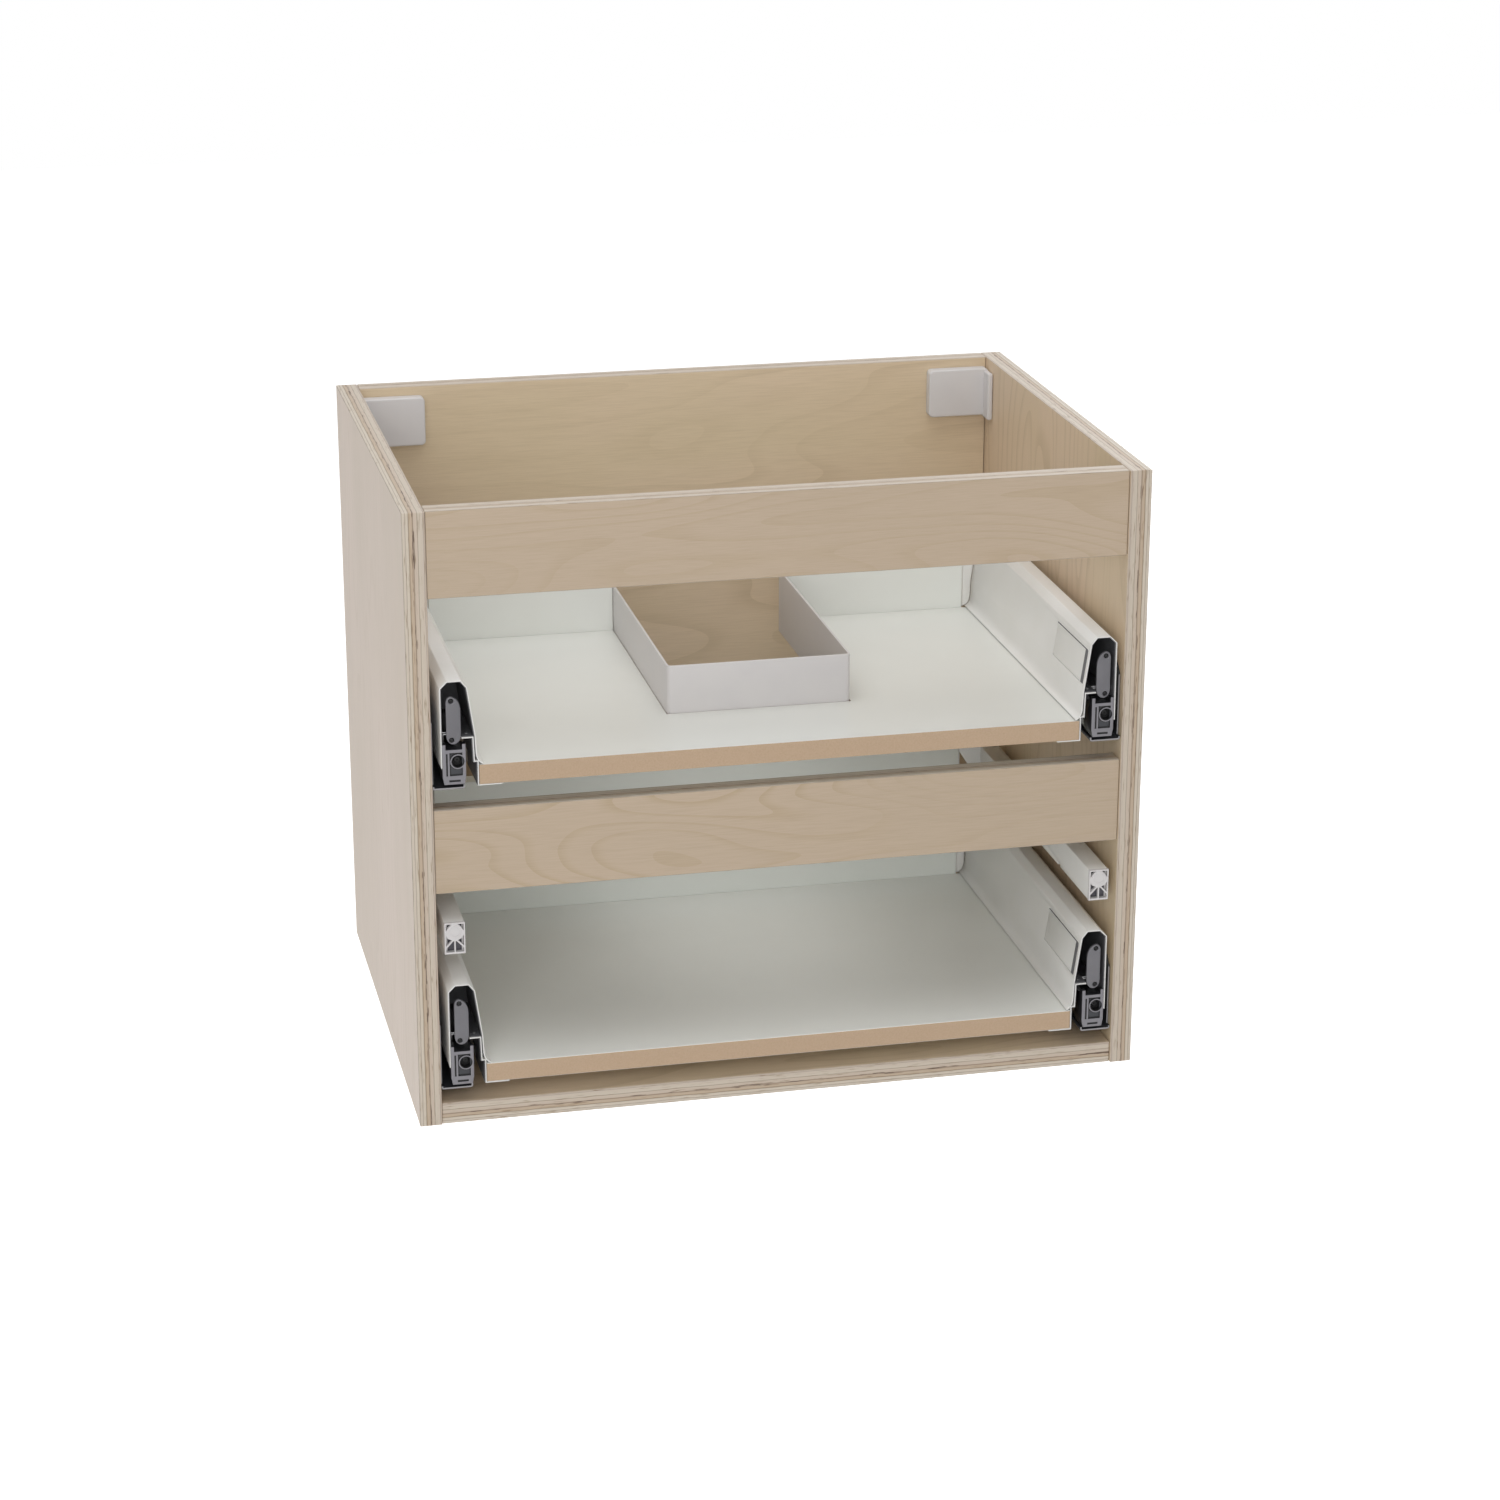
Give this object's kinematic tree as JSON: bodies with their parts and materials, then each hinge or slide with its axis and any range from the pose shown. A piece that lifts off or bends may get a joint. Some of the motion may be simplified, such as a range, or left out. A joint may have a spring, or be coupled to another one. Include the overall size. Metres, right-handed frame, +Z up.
{
  "type": "wall-hung drawer cabinet",
  "caption": "Wall-hung plywood vanity cabinet with full-extension drawers in steel sides, the upper one cut out for a basin trap.",
  "frame": {"origin": "middle of the rear face of the back panel, where the cabinet meets the wall", "axes": "+Z up, the cabinet faces -Y and the wall is at +Y, +X to the viewer's right"},
  "size_m": [0.6, 0.43, 0.512],
  "materials": {
    "birch_plywood": "clear satin lacquer on rotary-cut birch plywood",
    "laminate_board": "white melamine-faced board, satin",
    "white_steel": "white powder coat, satin",
    "grey_zinc": "grey coated zinc die casting, satin",
    "dark_steel": "dark grey coated sheet steel, satin",
    "bright_steel": "zinc-plated sheet steel, semi-gloss",
    "white_plastic": "white moulded plastic, fine texture"
  },
  "bodies": {
    "cabinet": {"back_panel": "birch_plywood", "bottom_panel": "birch_plywood", "hanger_body_left": "bright_steel", "hanger_body_right": "bright_steel", "hanger_cover_left": "white_plastic", "hanger_cover_right": "white_plastic", "lower_runner_cabinet_member_left": "dark_steel", "lower_runner_cabinet_member_right": "dark_steel", "middle_front_rail": "birch_plywood", "side_panel_left": "birch_plywood", "side_panel_right": "birch_plywood", "top_front_rail": "birch_plywood", "upper_runner_cabinet_member_left": "dark_steel", "upper_runner_cabinet_member_right": "dark_steel"},
    "left_hanger_hook": {"hanger_hook_left": "bright_steel"},
    "right_hanger_hook": {"hanger_hook_right": "bright_steel"},
    "upper_drawer": {"trap_cutout_trim": "white_plastic", "upper_cover_cap_left": "white_plastic", "upper_cover_cap_right": "white_plastic", "upper_drawer_back_left": "laminate_board", "upper_drawer_back_right": "laminate_board", "upper_drawer_board": "laminate_board", "upper_drawer_side_left": "white_steel", "upper_drawer_side_right": "white_steel", "upper_front_fixing_block_left": "grey_zinc", "upper_front_fixing_block_right": "grey_zinc", "upper_front_link_plate_left": "grey_zinc", "upper_front_link_plate_right": "grey_zinc", "upper_rear_bracket_left": "white_steel", "upper_rear_bracket_right": "white_steel", "upper_runner_drawer_member_left": "bright_steel", "upper_runner_drawer_member_right": "bright_steel", "upper_side_chassis_left": "white_steel", "upper_side_chassis_right": "white_steel"},
    "upper_runner_middles": {"upper_runner_middle_member_left": "bright_steel", "upper_runner_middle_member_right": "bright_steel"},
    "lower_drawer": {"gallery_end_cap_left": "white_plastic", "gallery_end_cap_right": "white_plastic", "gallery_rail_left": "white_steel", "gallery_rail_right": "white_steel", "lower_cover_cap_left": "white_plastic", "lower_cover_cap_right": "white_plastic", "lower_drawer_back": "laminate_board", "lower_drawer_board": "laminate_board", "lower_drawer_side_left": "white_steel", "lower_drawer_side_right": "white_steel", "lower_front_fixing_block_left": "grey_zinc", "lower_front_fixing_block_right": "grey_zinc", "lower_front_link_plate_left": "grey_zinc", "lower_front_link_plate_right": "grey_zinc", "lower_rear_bracket_left": "white_steel", "lower_rear_bracket_right": "white_steel", "lower_runner_drawer_member_left": "bright_steel", "lower_runner_drawer_member_right": "bright_steel", "lower_side_chassis_left": "white_steel", "lower_side_chassis_right": "white_steel"},
    "lower_runner_middles": {"lower_runner_middle_member_left": "bright_steel", "lower_runner_middle_member_right": "bright_steel"}
  },
  "joints": [
    {"name": "upper_drawer_slide", "type": "slide", "parent": "cabinet", "child": "upper_drawer", "axis": [0, -1, 0], "range_m": [0, 0.345]},
    {"name": "upper_runner_slide", "type": "slide", "parent": "cabinet", "child": "upper_runner_middles", "axis": [0, -1, 0], "range_m": [0, 0.1725]},
    {"name": "lower_drawer_slide", "type": "slide", "parent": "cabinet", "child": "lower_drawer", "axis": [0, -1, 0], "range_m": [0, 0.345]},
    {"name": "lower_runner_slide", "type": "slide", "parent": "cabinet", "child": "lower_runner_middles", "axis": [0, -1, 0], "range_m": [0, 0.1725]},
    {"name": "left_hook_height", "type": "slide", "parent": "cabinet", "child": "left_hanger_hook", "axis": [0, 0, 1], "range_m": [-0.006, 0.006]},
    {"name": "right_hook_height", "type": "slide", "parent": "cabinet", "child": "right_hanger_hook", "axis": [0, 0, 1], "range_m": [-0.006, 0.006]}
  ],
  "couplings": [
    {"joint": "upper_runner_slide", "follows": "upper_drawer_slide", "ratio": 0.5},
    {"joint": "lower_runner_slide", "follows": "lower_drawer_slide", "ratio": 0.5}
  ]
}
